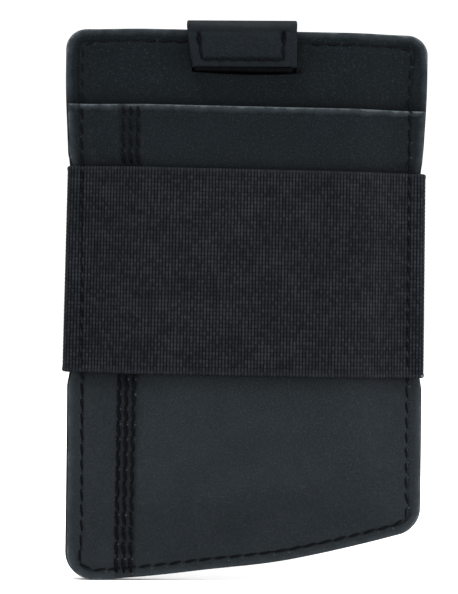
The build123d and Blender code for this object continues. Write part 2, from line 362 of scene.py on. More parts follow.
# Brushed leather: fine nap, pores and slow cloudy patches
def napGroup():
    group, given, result = newGroup(
        "brushedNap",
        [("Vector", "Vector", None), ("Nap", "Float", 5200.0), ("Patch", "Float", 110.0)],
        ["Height", "Cloud", "Grain", "Fleck"])
    place = given.outputs["Vector"]
    nap = addNode(group, "TexNoise", {"Vector": place, "Scale": given.outputs["Nap"],
                                      "Detail": 3.0, "Roughness": 0.6})
    coarse = maths(group, "MULTIPLY", given.outputs["Nap"], 0.22)
    pores = addNode(group, "TexVoronoi", {"Vector": place, "Scale": coarse})
    cloud = addNode(group, "TexNoise", {"Vector": place, "Scale": given.outputs["Patch"],
                                        "Detail": 4.0, "Roughness": 0.55, "Distortion": 0.4})
    pit = ramp(group, pores.outputs["Distance"], 0.0, 0.35)
    height = maths(group, "MULTIPLY_ADD", pit, 0.35, nap.outputs["Fac"])
    fleck = ramp(group, nap.outputs["Fac"], 0.56, 0.74)
    group.links.new(height, result.inputs["Height"])
    group.links.new(ramp(group, cloud.outputs["Fac"], 0.3, 0.7), result.inputs["Cloud"])
    group.links.new(ramp(group, nap.outputs["Fac"], 0.36, 0.66), result.inputs["Grain"])
    group.links.new(fleck, result.inputs["Fleck"])
    return group


# 1 at a sheet's rim, fading inwards over a broken edge; it masks both rubbed wear and the painted edge
# highlight
def wearAndHighlightGroup():
    group, given, result = newGroup(
        "rimWearAndHighlight",
        [("Vector", "Vector", None), ("Distance", "Float", 5.0), ("Reach", "Float", 1.5)],
        ["Mask"])
    breakup = addNode(group, "TexNoise", {"Vector": given.outputs["Vector"], "Scale": 420.0,
                                          "Detail": 5.0, "Roughness": 0.65})
    shifted = maths(group, "MULTIPLY_ADD", breakup.outputs["Fac"], -1.6, 0.8)
    distance = maths(group, "ADD", given.outputs["Distance"], shifted)
    share = maths(group, "DIVIDE", distance, given.outputs["Reach"])
    group.links.new(maths(group, "SUBTRACT", 1.0, ramp(group, share, 0.0, 1.0)), result.inputs["Mask"])
    return group


# Yarn cells: upright ribs crossed by rows, each second rib a share of a row off
def weaveGroup():
    group, given, result = newGroup(
        "yarnCells",
        [("Across", "Float", 0.0), ("Along", "Float", 0.0), ("Rib", "Float", 0.6),
         ("Row", "Float", 0.77), ("Stagger", "Float", 0.5)],
        ["Height", "Gap", "Yarn"])
    rib = maths(group, "DIVIDE", given.outputs["Across"], given.outputs["Rib"])
    ribCell = maths(group, "FLOOR", rib)
    odd = maths(group, "ABSOLUTE", maths(group, "MODULO", ribCell, 2.0))
    row = maths(group, "DIVIDE", given.outputs["Along"], given.outputs["Row"])
    row = maths(group, "MULTIPLY_ADD", odd, given.outputs["Stagger"], row)
    rowCell = maths(group, "FLOOR", row)
    ribWave = maths(group, "ABSOLUTE", maths(group, "SINE", maths(group, "MULTIPLY", rib, math.pi)))
    rowWave = maths(group, "ABSOLUTE", maths(group, "SINE", maths(group, "MULTIPLY", row, math.pi)))
    ribShape = ramp(group, ribWave, 0.12, 0.85)
    rowShape = ramp(group, rowWave, 0.0, 0.6)
    height = maths(group, "MULTIPLY", ribShape, maths(group, "MULTIPLY_ADD", rowShape, 0.6, 0.4))
    cell = addNode(group, "CombineXYZ", {0: ribCell, 1: rowCell})
    yarn = addNode(group, "TexWhiteNoise", {"Vector": cell.outputs[0]}, noise_dimensions="2D")
    group.links.new(height, result.inputs["Height"])
    group.links.new(maths(group, "SUBTRACT", 1.0, height), result.inputs["Gap"])
    group.links.new(yarn.outputs["Value"], result.inputs["Yarn"])
    return group


brushedNap = napGroup()
rimWearAndHighlight = wearAndHighlightGroup()
yarnCells = weaveGroup()
print("shader groups built")


# Finishes

def newFinish(name, roughness):
    material = bpy.data.materials.new(name)
    material.use_nodes = True
    tree = material.node_tree
    shader = tree.nodes["Principled BSDF"]
    shader.inputs["Roughness"].default_value = roughness
    shader.inputs["Specular IOR Level"].default_value = 0.04
    return material, tree, shader


def objectPlace(tree):
    return addNode(tree, "TexCoord").outputs["Object"]


def attribute(tree, name):
    return addNode(tree, "Attribute", attribute_name=name).outputs["Fac"]


def bump(tree, shader, height, distance, strength):
    node = addNode(tree, "Bump", {"Height": height, "Distance": distance, "Strength": strength})
    tree.links.new(node.outputs["Normal"], shader.inputs["Normal"])


nubuck = {
    "dark": (0.0062, 0.0083, 0.0100),
    "pale": (0.0123, 0.0150, 0.0174),
    "fleck": (0.0300, 0.0350, 0.0390),
    "worn": (0.0250, 0.0300, 0.0340),
    # a painted highlight for the thin bright line along the cut edges
    "edgeHighlight": (0.0500, 0.0600, 0.0660),
    # painted shade for the stitch grooves and creases, also used by the shade attribute
    "groove": (0.0006, 0.0008, 0.0012),
    # a painted shade that darkens the leather towards the top
    "topShade": (0.30, 0.37, 0.40),
}


def leatherFinish(name, spec, reach=1.7, wearShare=0.6, edgeHighlightShare=0.8, edgeHighlightReach=0.42, grooveShadeShare=0.55):
    material, tree, shader = newFinish(name, 0.78)
    place = objectPlace(tree)
    nap = useGroup(tree, brushedNap, {"Vector": place, "Nap": 3000.0})
    grain = maths(tree, "MULTIPLY_ADD", nap.outputs["Cloud"], 0.35,
                  maths(tree, "MULTIPLY", nap.outputs["Grain"], 0.65))
    colour = blendColour(tree, grain, spec["dark"], spec["pale"])
    # Darker towards the top: a painted shade for the light that falls off upwards
    height = addNode(tree, "SeparateXYZ", {0: place}).outputs["Z"]
    tone = blendColour(tree, ramp(tree, height, 0.02, 0.112), (1.0, 1.0, 1.0), spec["topShade"])
    colour = blendColour(tree, 1.0, colour, tone, "MULTIPLY")
    colour = blendColour(tree, maths(tree, "MULTIPLY", nap.outputs["Fleck"], 0.24), colour, spec["fleck"])
    # The broad mask is the rubbed wear; the narrow one is a painted highlight on the cut edge
    for share, toneName, wearReach in ((wearShare, "worn", reach), (edgeHighlightShare, "edgeHighlight", edgeHighlightReach)):
        wear = useGroup(tree, rimWearAndHighlight, {"Vector": place, "Distance": attribute(tree, "rim"),
                                        "Reach": wearReach})
        worn = maths(tree, "MULTIPLY", wear.outputs["Mask"], share)
        colour = blendColour(tree, worn, colour, spec[toneName])
    # Painted shade: the stitch grooves, the creases and the shade attribute darken towards the groove colour
    seam = maths(tree, "ABSOLUTE", attribute(tree, "seam"))
    groove = maths(tree, "MULTIPLY", ramp(tree, seam, 0.5, 0.05), grooveShadeShare)
    groove = maths(tree, "MAXIMUM", groove, attribute(tree, "shade"))
    colour = blendColour(tree, groove, colour, spec["groove"])
    tree.links.new(colour, shader.inputs["Base Color"])
    rough = maths(tree, "MULTIPLY_ADD", nap.outputs["Cloud"], 0.1, 0.72)
    tree.links.new(rough, shader.inputs["Roughness"])
    bump(tree, shader, nap.outputs["Height"], 0.00006, 0.8)
    return material


def cutEdgeFinish():
    material, tree, shader = newFinish("leatherCutEdge", 0.8)
    place = objectPlace(tree)
    nap = useGroup(tree, brushedNap, {"Vector": place, "Nap": 3800.0})
    colour = blendColour(tree, nap.outputs["Cloud"], (0.0080, 0.0085, 0.0090), (0.0180, 0.0180, 0.0185))
    tree.links.new(colour, shader.inputs["Base Color"])
    bump(tree, shader, nap.outputs["Height"], 0.0001, 0.9)
    return material


# Cloth whose UV map is in millimetres across and along it
def wovenFinish(name, spec):
    material, tree, shader = newFinish(name, spec["roughness"])
    place = addNode(tree, "TexCoord")
    uv = addNode(tree, "SeparateXYZ", {0: place.outputs["UV"]})
    wobble = addNode(tree, "TexNoise", {"Vector": place.outputs["Object"], "Scale": 900.0, "Detail": 2.0})
    shift = maths(tree, "MULTIPLY_ADD", wobble.outputs["Fac"], spec["wobble"], -spec["wobble"] / 2)
    cells = useGroup(tree, yarnCells, {
        "Across": maths(tree, "ADD", uv.outputs["X"], shift),
        "Along": maths(tree, "ADD", uv.outputs["Y"], shift),
        "Rib": spec["rib"], "Row": spec["row"], "Stagger": spec["stagger"]})
    cloud = addNode(tree, "TexNoise", {"Vector": place.outputs["Object"], "Scale": 260.0,
                                       "Detail": 3.0, "Roughness": 0.6})
    mixture = maths(tree, "MULTIPLY_ADD", cells.outputs["Yarn"], 0.3,
                    maths(tree, "MULTIPLY", cloud.outputs["Fac"], 0.6))
    colour = blendColour(tree, ramp(tree, mixture, 0.15, 0.8), spec["dark"], spec["pale"])
    # The gaps between the yarn cells are painted dark: painted shade between the ribs
    colour = blendColour(tree, cells.outputs["Gap"], colour, spec["gapShade"])
    edge = maths(tree, "MULTIPLY", ramp(tree, attribute(tree, "rim"), 1.05, 0.75), spec["selvageShare"])
    colour = blendColour(tree, edge, colour, spec["selvage"])
    tree.links.new(colour, shader.inputs["Base Color"])
    bump(tree, shader, cells.outputs["Height"], spec["relief"], 1.0)
    return material


elasticCloth = {"rib": 0.62, "row": 0.77, "stagger": 0.06, "wobble": 0.1, "relief": 0.00012,
                "roughness": 0.75, "dark": (0.0040, 0.0054, 0.0070), "pale": (0.0138, 0.0158, 0.0188),
                "gapShade": (0.0004, 0.0006, 0.0012), "selvage": (0.0105, 0.0108, 0.0142), "selvageShare": 0.28}
# The black webbing is darkened further, standing in for the shade inside the slit where it shows
webCloth = {"rib": 0.38, "row": 0.9, "stagger": 0.5, "wobble": 0.04, "relief": 0.0001,
            "roughness": 0.8, "dark": (0.0008, 0.0009, 0.0012), "pale": (0.0020, 0.0022, 0.0028),
            "gapShade": (0.0003, 0.0003, 0.0005), "selvage": (0.0020, 0.0021, 0.0028), "selvageShare": 0.5}
liningCloth = {"rib": 0.22, "row": 0.22, "stagger": 0.5, "wobble": 0.01, "relief": 0.00003,
               "roughness": 0.6, "dark": (0.010, 0.011, 0.013), "pale": (0.020, 0.021, 0.024),
               "gapShade": (0.004, 0.004, 0.005), "selvage": (0.010, 0.011, 0.013), "selvageShare": 0.0}


def threadFinish(name, dark, pale):
    material, tree, shader = newFinish(name, 0.7)
    place = objectPlace(tree)
    ply = addNode(tree, "TexWave", {"Vector": place, "Scale": 900.0, "Distortion": 1.5},
                  bands_direction="DIAGONAL")
    colour = blendColour(tree, ply.outputs["Fac"], dark, pale)
    tree.links.new(colour, shader.inputs["Base Color"])
    bump(tree, shader, ply.outputs["Fac"], 0.00005, 0.7)
    return material


# Painted shade for the mouths of the needle holes
def holeShadeFinish():
    material, tree, shader = newFinish("needleHole", 0.95)
    grain = addNode(tree, "TexNoise", {"Vector": objectPlace(tree), "Scale": 4000.0})
    colour = blendColour(tree, grain.outputs["Fac"], (0.0010, 0.0012, 0.0014), (0.0030, 0.0034, 0.0040))
    tree.links.new(colour, shader.inputs["Base Color"])
    return material


bodyLeather = leatherFinish("brushedNubuck", nubuck)
# Pale discs beside the needle holes: a painted highlight where the leather rises
holeHighlightTone = {**nubuck, "dark": (0.013, 0.016, 0.018), "pale": (0.026, 0.031, 0.034), "topShade": (0.6, 0.6, 0.6)}
holeHighlight = leatherFinish("holeHighlight", holeHighlightTone, wearShare=0.0, edgeHighlightShare=0.0, grooveShadeShare=0.0)
tabTone = {**nubuck, "dark": (0.0028, 0.0043, 0.0057), "pale": (0.0066, 0.0084, 0.0103),
           "fleck": (0.0120, 0.0145, 0.0165), "worn": (0.0105, 0.0125, 0.0142),
           "edgeHighlight": (0.0120, 0.0142, 0.0160), "topShade": (1.0, 1.0, 1.0)}
tabLeather = leatherFinish("tabNubuck", tabTone, reach=1.6, wearShare=0.8)
cutEdge = cutEdgeFinish()
elastic = wovenFinish("wovenElastic", elasticCloth)
webbing = wovenFinish("ribbedWebbing", webCloth)
liningWeave = wovenFinish("pocketLining", liningCloth)
thread = threadFinish("waxedThread", (0.0003, 0.0005, 0.0010), (0.0018, 0.0024, 0.0036))
paleThread = threadFinish("looseFibre", (0.16, 0.15, 0.17), (0.30, 0.29, 0.32))
needleHoleShade = holeShadeFinish()
print("finishes built")


# Building sheets and stitches

def spread(start, end, step):
    count = max(1, math.ceil(abs(end - start) / step))
    return [mix(start, end, i / count) for i in range(count + 1)]


def tidyList(values, nearest=0.03):
    kept = []
    for value in sorted(values):
        if not kept or value - kept[-1] > nearest:
            kept.append(value)
    return kept


edgeSteps = [0, 0.05, 0.12, 0.22, 0.4, 0.7]


# A grid laid out by place(column, row) -> (x, depth, z, rim, seam, shade), given a thickness
def sheet(name, columns, rows, place, thickness, materials, outward, uvMap=None, cut=None):
    bm = bmesh.new()
    bmesh.ops.create_grid(bm, x_segments=len(columns) - 1, y_segments=len(rows) - 1, size=1)
    rim = bm.verts.layers.float.new("rim")
    seam = bm.verts.layers.float.new("seam")
    shade = bm.verts.layers.float.new("shade")
    uv = bm.loops.layers.uv.new("weave")
    bm.verts.ensure_lookup_table()
    spots = [(column, row) for row in rows for column in columns]
    for vert, (column, row) in zip(bm.verts, spots):
        x, depth, z, vert[rim], vert[seam], *rest = place(column, row)
        vert[shade] = rest[0] if rest else 0.0
        vert.co = Vector((x, seamY - depth, z)) * mm
    if uvMap:
        flat = [uvMap(column, row) for column, row in spots]
        for face in bm.faces:
            for loop in face.loops:
                loop[uv].uv = flat[loop.vert.index]
    if cut:
        cut(bm)
    bm.normal_update()
    facing = sum((face.normal.dot(outward(face.calc_center_median())) for face in bm.faces))
    if facing < 0:
        bmesh.ops.reverse_faces(bm, faces=bm.faces[:])
    if not cut:  # welds a closed run's ends, where a cut has to stay open
        bmesh.ops.remove_doubles(bm, verts=bm.verts[:], dist=0.000001)
    return meshPiece(name, bm, thickness, materials)


def meshPiece(name, bm, thickness, materials):
    mesh = bpy.data.meshes.new(name)
    for face in bm.faces:
        face.smooth = True
    bm.to_mesh(mesh)
    bm.free()
    piece = bpy.data.objects.new(name, mesh)
    bpy.context.scene.collection.objects.link(piece)
    for material in materials:
        mesh.materials.append(material)
    if thickness:
        shell = piece.modifiers.new("thickness", "SOLIDIFY")
        shell.thickness = thickness * mm
        shell.offset = -1
        shell.use_even_offset = False
        shell.material_offset_rim = 1 if len(materials) > 1 else 0
    return piece


# A blended piece rides on no single body
def settle(piece, body, nodes=()):
    if body:
        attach(piece, body)
    if nodes:
        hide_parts(*nodes)


def toFront(point):
    return Vector((0, -1, 0))


def toBack(point):
    return Vector((0, 1, 0))


# How far a cut edge is rounded back at a distance from it
def rounded(rim, radius):
    inside = clamp(1 - rim / radius)
    return radius * (1 - math.sqrt(1 - inside * inside))


# Steps in from both ends that follow their rounding, with an even run between
def edged(low, high, inset, step, nearest=0.03, steps=edgeSteps[:5]):
    ends = [low + s for s in steps] + [high - s for s in steps]
    return tidyList(ends + spread(low + inset, high - inset, step), nearest)


def bodyColumns(half, step, extra=()):
    side = edgeSteps + [wallet["lowCorner"] * (1 - math.cos(math.radians(a))) for a in range(28, 91, 8)]
    inner = half - wallet["lowCorner"]
    xs = [s - half for s in side] + [half - s for s in side] + spread(-inner, inner, step)
    return tidyList(xs + list(extra), 0.04)


# Rows from 0 to 1 fan up from the bottom edge, and from 1 to 2 they are level
def bodyRows(top, step, extra=(), coarseTo=None):
    split, span = wallet["splitZ"], wallet["lowSpan"]
    low = [s / span for s in edgeSteps] + spread(0.04, 1, step / span)
    start = split if coarseTo is None else coarseTo
    zs = spread(start, top - edgeSteps[-1], step) + [top - s for s in edgeSteps] + list(extra)
    if coarseTo is not None:
        low = [s / span for s in edgeSteps[::2]] + spread(0.06, 1, wallet["hiddenGrid"] / span)
        zs += spread(split, coarseTo, wallet["hiddenRows"])
    high = [1 + (z - split) / (top - split) for z in zs]
    return tidyList(low, 0.0015) + [v for v in tidyList(high, 0.0006) if v > 1.0005]


# 1 in the wallet's corners, where the nap is rubbed most
def cornerNear(x, z, half, top):
    near = min(math.hypot(half - abs(x), top - z), math.hypot(half - abs(x), z - bottomLine(x)))
    return smooth(1 - near / wallet["rubReach"])


# Seam distance for the painted groove shade, with the accent rows and the crease below the mouth as softer
# seams
def pocketDark(x, z):
    rows = min(abs(x - accentX(row, z)) for row in (-1, 0, 1))
    crease = abs(mouthZ - z - mouth["lineAt"])
    return min(abs(seamDistance(x, z)), 0.12 + rows * 0.9, 0.4 + crease * 1.2)


# Painted shade beside the band, above the pocket's mouth and round the tab, and a painted dark crease at the
# slit's end
shading = {"most": 0.9, "band": 0.5, "bandReach": 1.1, "mouth": 0.6, "mouthReach": 1.9,
           "tab": 0.25, "tabZ": 104.0, "tabReach": 6.0, "pucker": 0.8}


def bandShadow(z):
    away = max(0.0, z - bandHigh.z, bandLow.z - z)
    return shading["band"] * math.exp(-away / shading["bandReach"])


# Painted shade beside the band and over the accent rows' sunken swath
def pocketShade(x, z):
    inside = accents["swathHalf"] - abs(x - accentX(0, z))
    swath = accents["swathShade"] * smooth(inside / accents["swathFlank"])
    return min(shading["most"], bandShadow(z) + swath)


# Painted shade above the mouth and round the tab, with a painted dark crease by the slit's right end
def cardShade(x, z):
    toTab = math.hypot(max(0.0, abs(x - slit["x"]) - slit["half"]), z - shading["tabZ"])
    nearTab = shading["tab"] * smooth(1.2 - toTab / shading["tabReach"])
    atEnd = smooth((z - slit["z"] + 0.4) / 0.5) * smooth((slit["z"] + 1.3 - z) / 0.7)
    pucker = math.exp(-(((x - slit["puckerX"]) / slit["puckerWidth"]) ** 2)) * atEnd
    nearMouth = shading["mouth"] * math.exp(-max(0.0, z - mouthZ) / shading["mouthReach"])
    return min(shading["most"], nearMouth + nearTab + shading["pucker"] * pucker)


def bodySheet(name, spec, extraX=(), extraZ=(), cut=None):
    half, top, radius, sign = spec["half"], spec["top"], spec["topCorner"], spec["side"]
    split = wallet["splitZ"]

    def place(x, row):
        low, high = lowEdge(x, half), highEdge(x, top, half, radius)
        z = mix(low, split, row) if row <= 1 else mix(split, high, row - 1)
        rim = max(0.0, rimDistance(x, z, top, half, radius))
        depth = spec["face"](x, z) - rounded(rim, spec["rounding"])
        droop = spec.get("droop", 0.0) * smooth((z - split) / wallet["droopRun"])
        z -= droop * (x + halfBody) / (2 * halfBody)
        # Along the pocket's mouth the rim masks run at full strength: a pale worn strip with a painted
        # highlight on its edge
        atMouth = radius == 0 and top - z < wallet["mouthStrip"] and half - abs(x) > top - z
        kept = spec.get("keptNap", wallet["keptNap"]) - wallet["cornerRub"] * cornerNear(x, z, half, topZ)
        worn = rim if atMouth else rim + kept
        shade = spec["shade"](x, z) if "shade" in spec else 0.0
        return pinch(x, z), sign * depth, z, worn, spec.get("dark", seamDistance)(x, z), shade

    columns = bodyColumns(half, spec["step"], extraX)
    rows = bodyRows(top, spec["step"], extraZ, spec.get("coarseTo"))
    piece = sheet(name, columns, rows, place, spec["thickness"], spec["materials"],
                  toFront if sign > 0 else toBack,
                  uvMap=lambda x, row: (x, row * middleZ), cut=cut)
    settle(piece, "wallet", [spec["node"]])
    return piece


def facesMiddle(vert):
    return sum(face.calc_center_median().z for face in vert.link_faces) / len(vert.link_faces)


# Parts the leather along the slit, sets the strip above it back and lets the lip sag
def openSlit(bm):
    level, ends, near, reach = (slit[key] * mm for key in ("z", "half", "onLine", "sagReach"))
    along = [edge for edge in bm.edges
             if all(abs(v.co.z - level) < near for v in edge.verts)
             and all(abs(v.co.x - slit["x"] * mm) < ends for v in edge.verts)]
    bmesh.ops.split_edges(bm, edges=along)
    for vert in bm.verts:
        if abs(vert.co.z - level) < near and facesMiddle(vert) > level:
            x, z = vert.co.x / mm, vert.co.z / mm
            vert.co.y -= (slitShift(x, z, True) - slitShift(x, z, False)) * mm
    for vert in bm.verts:
        if level - reach < vert.co.z < level + near and facesMiddle(vert) < level:
            across = clamp(1 - ((vert.co.x / mm - slit["x"]) / slit["half"]) ** 2)
            vert.co.z -= slit["sag"] * mm * across * smooth(1 - (level - vert.co.z) / reach)


# One plump bar of thread for each step between two needle holes
def stitches(name, steps, faceAt, side, size, slant, material, body, nodes):
    width, height, fill = size
    bm = bmesh.new()
    for (ax, az), (bx, bz) in steps:
        run = Vector((bx - ax, 0, bz - az))
        across = Vector((run.z, 0, -run.x)).normalized() * slant
        ends = [Vector((ax, seamY - side * faceAt(ax, az), az)) + across,
                Vector((bx, seamY - side * faceAt(bx, bz), bz)) - across]
        run = (ends[1] - ends[0]).normalized()
        normal = Vector((0, -side, 0))
        normal = (normal - run * normal.dot(run)).normalized()
        flat = normal.cross(run)
        turn = Matrix((flat, normal, run)).transposed().to_4x4()
        length = (ends[1] - ends[0]).length * fill * random.uniform(0.96, 1.04)
        middle = (ends[0] + ends[1]) / 2 + normal * height * random.uniform(0.1, 0.2)
        scale = Matrix.Diagonal((width, height * 2, length, 1))
        twist = Matrix.Rotation(random.uniform(-0.05, 0.05), 4, "Y")
        place = Matrix.Translation(middle) @ turn @ twist @ scale
        bmesh.ops.create_uvsphere(bm, u_segments=8, v_segments=7, radius=0.5,
                                  matrix=Matrix.Scale(mm, 4) @ place)
    settle(meshPiece(name, bm, 0, [material]), body, nodes)


# Small low discs lying on a surface
def flushDiscs(name, spots, faceAt, side, body, width, material, vary=0.0):
    bm = bmesh.new()
    reach = 0.2
    for x, z in spots:
        slopeX = (faceAt(x + reach, z) - faceAt(x - reach, z)) / (2 * reach)
        middle = Vector((x, seamY - side * faceAt(x, z), z))
        turn = Matrix.Rotation(math.atan(slopeX) * side, 4, "Z")
        size = width * random.uniform(1 - vary, 1 + vary)
        scale = Matrix.Diagonal((size, 0.1 + 0.1 * vary, size * 0.85, 1))
        bmesh.ops.create_uvsphere(bm, u_segments=8, v_segments=4, radius=0.5,
                                  matrix=Matrix.Scale(mm, 4) @ Matrix.Translation(middle) @ turn @ scale)
    settle(meshPiece(name, bm, 0, [material]), body)


# Painted shade in the mouths of the needle holes, most with a painted highlight spot where the leather rises
# beside it
def needleHoles(name, spots, faceAt, side, body, width=0.62, highlightAt=None):
    flushDiscs(name, spots, faceAt, side, body, width, needleHoleShade)
    if highlightAt:
        raised = [(x + dx, z + dz) for x, z in spots for dx, dz in [highlightAt(x, z)] if random.random() < 0.6]
        flushDiscs(name + "Highlight", raised, faceAt, side, body, 0.42, holeHighlight, 0.45)


highlightAway, flatter = 0.42, 0.62


# Outwards of the seam and a little down it
def besideSeam(x, z):
    up = (z - middleZ) * flatter
    length = math.hypot(x, up) or 1
    return highlightAway * x / length + 0.1, highlightAway * up / length - 0.22


def besideAccent(x, z):
    return highlightAway, -highlightAway


# Leather panels and linings

panel = {"half": halfBody, "top": topZ, "topCorner": wallet["topCorner"], "side": 1, "thickness": leather,
         "rounding": wallet["rounding"], "materials": [bodyLeather, cutEdge], "slot": "body_leather"}
accentColumns = spread(accentX(-1, 0) - 0.9, accentX(1, mouthZ) + 0.9, 0.24)
bodySheet("frontPocketLeather", {
    **panel, "node": "front_pocket_panel", "half": frontHigh.x, "top": mouthZ, "topCorner": 0.0,
    "face": pocketFace, "dark": pocketDark, "shade": pocketShade, "droop": wallet["mouthDroop"],
    "rounding": wallet["mouthRounding"], "step": wallet["grid"]},
    extraX=accentColumns, extraZ=[mouthZ - s for s in (1.0, 1.25, 1.5, 1.75, 2.0)])

slitStart = slit["recessX"] - slit["recessHalf"]
slitColumns = spread(slitStart - 0.7, slitStart + 0.8, slit["flank"] / 2)
slitColumns += [2 * slit["recessX"] - x for x in slitColumns]
bodySheet("cardPocketLeather", {
    **panel, "node": "card_pocket_panel", "face": cardFace, "shade": cardShade,
    "keptNap": wallet["topKeptNap"], "step": wallet["cardGrid"], "coarseTo": mouthZ - 4},
    extraX=slitColumns, extraZ=[slit["z"] + s for s in (-0.9, -0.6, -0.35, -0.15, 0.0, 0.12)], cut=openSlit)

bodySheet("backLeather", {
    **panel, "node": "back_panel", "side": -1, "face": backFace, "step": wallet["backGrid"]})
print("leather panels built")


# Outer face of a lining, against the leather's inside
def liningFace(x, z):
    return lining + (cardCrown - cardMargin) * swellShare(x, z)


def frontLiningFace(x, z):
    across = smooth((slit["recessHalf"] + 0.5 - abs(x - slit["recessX"])) / 0.5)
    behind = across * smooth((z - slit["z"] + 1.6) / 1.2)
    return liningFace(x, z) - behind * (slit["recess"] - 0.02)


linings = {**panel, "half": halfBody - 0.3, "top": topZ - 0.5, "thickness": lining, "rounding": 0.05,
           "step": wallet["liningGrid"], "materials": [liningWeave], "slot": "pocket_lining"}
backLining = bodySheet("backLining", {**linings, "node": "back_lining", "side": -1, "face": liningFace})
frontLining = bodySheet("frontLining", {**linings, "node": "card_pocket_lining", "face": frontLiningFace},
                        extraX=slitColumns, extraZ=spread(slit["z"] - 2, slit["z"] + 1, 0.3))
print("linings built")

# Elastic band

# Closed run round the wallet, as (x, depth), starting on the right of the front
def bandPath():
    edge, out = band["edge"], band["round"]
    flat, fine = edge - band["fineColumns"], band["columnStep"] / 2
    xs = spread(edge, flat, fine) + spread(flat, -flat, band["columnStep"])[1:]
    xs += spread(-flat, -edge, fine)[1:]
    front = [(x, bandFront(x)) for x in xs]
    back = [(-x, -bandBack(x)) for x in xs]
    high, low = bandFront(edge), -bandBack(edge)
    middle, reach = (high + low) / 2, (high - low) / 2
    sides = []
    for angle in range(12, 180, 12):
        a = math.radians(angle)
        lift = math.copysign(abs(math.cos(a)) ** 0.8, math.cos(a))
        sides.append((edge + out * math.sin(a) ** 0.62, middle + reach * lift))
    left = [(-x, depth) for x, depth in sides]
    return front + left + back + list(reversed(sides))


# How far along a line each of its points lies
def lengthsAlong(points):
    lengths = [0.0]
    for a, b in zip(points, points[1:]):
        lengths.append(lengths[-1] + (Vector(b) - Vector(a)).length)
    return lengths


path = bandPath()
path.append(path[0])
runs = lengthsAlong(path)


def bandPlace(index, z):
    x, depth = path[index]
    beforeX, beforeD = path[(index - 1) % (len(path) - 1)]
    afterX, afterD = path[(index + 1) % (len(path) - 1)]
    out = Vector((-(afterD - beforeD), afterX - beforeX)).normalized() * -1
    edge = min(z - bandLow.z, bandHigh.z - z)
    relief = band["rowRelief"] * (abs(math.sin(math.pi * (z - bandLow.z) / elasticCloth["row"])) - 0.5)
    if edge < band["selvage"]:
        relief = band["selvageRelief"] * math.sin(math.pi * clamp(edge / band["selvage"]))
    relief -= rounded(edge, band["rounding"])
    up = clamp((z - bandLow.z) / (bandHigh.z - bandLow.z))
    share = clamp((x + halfBody) / (2 * halfBody))
    (leftTop, leftFoot), (rightTop, rightFoot) = band["leftOut"], band["rightOut"]
    shift = mix(mix(leftFoot, leftTop, up), mix(rightFoot, rightTop, up), share)
    level = z + band["tilt"] * (band["tiltPivot"] - share) - band["footDrop"] * (1 - up)
    return x + out.x * relief + shift, depth + out.y * relief, level, edge, noSeam


def awayFromMiddle(point):
    return Vector((point.x * 0.02, point.y - seamY * mm - 0.0006, 0))


bandRows = edged(bandLow.z, bandHigh.z, band["endStep"], band["rowStep"], 0.02)
elasticBand = sheet("elasticBand", list(range(len(path))), bandRows, bandPlace, band["thickness"],
                    [elastic], awayFromMiddle, uvMap=lambda index, z: (runs[index], z - bandLow.z))
settle(elasticBand, "wallet", ["elastic_band"])

lapLow, lapHigh = bandLow.z + lap["inset"], bandHigh.z - lap["inset"]


def lapPlace(x, z):
    edge = min(z - lapLow, lapHigh - z, x - lap["low"], lap["high"] - x)
    depth = bandBack(x) + lap["lift"] - rounded(max(0.0, edge), lap["rounding"])
    return x + lap["shift"], -depth, z, edge, noSeam


bandLap = sheet("elasticLap", edged(lap["low"], lap["high"], band["endStep"], lap["step"]),
                edged(lapLow, lapHigh, lap["endStep"], lap["rowStep"]), lapPlace, lap["thickness"],
                [elastic], toBack, uvMap=lambda x, z: (x, z - bandLow.z))
settle(bandLap, "wallet")
print("elastic band built")

# Threads

# Width, height and share of the step that each kind of stitch fills
bars = {"seam": (0.52, 0.3, 0.84), "accent": (0.74, 0.36, 0.82), "tab": (0.56, 0.3, 0.8),
        "tack": (0.42, 0.3, 1.15), "anchor": (0.45, 0.25, 0.86), "loose": (0.2, 0.15, 1.2)}


# The stitch line round the body, found along rays from its middle
def seamLoop(count=900):
    loop = []
    centre = Vector((0, middleZ))
    for i in range(count):
        angle = 2 * math.pi * i / count
        ray = Vector((math.sin(angle), math.cos(angle)))
        near, far = 20.0, 75.0
        for _ in range(30):
            middle = (near + far) / 2
            point = centre + ray * middle
            if seamDistance(point.x, point.y) > 0:
                near = middle
            else:
                far = middle
        loop.append(centre + ray * near)
    return loop


# Even steps along a line of points
def walk(points, pitch, closed=False):
    points = list(points) + ([points[0]] if closed else [])
    lengths = lengthsAlong(points)
    count = max(1, round(lengths[-1] / pitch))
    spots, index = [], 0
    for i in range(count + 1):
        target = lengths[-1] * i / count
        while index < len(lengths) - 2 and lengths[index + 1] < target:
            index += 1
        share = (target - lengths[index]) / max(1e-9, lengths[index + 1] - lengths[index])
        spots.append(points[index].lerp(points[index + 1], share))
    return pairs(spots)


def pairs(spots):
    return [(tuple(a), tuple(b)) for a, b in zip(spots, spots[1:])]


def holesOf(steps):
    return [step[0] for step in steps] + [steps[-1][1]]


# Spots that the band doesn't cover
def clearOfBand(spots, margin):
    return [s for s in spots if not bandLow.z - margin < s[1] < bandHigh.z + margin]


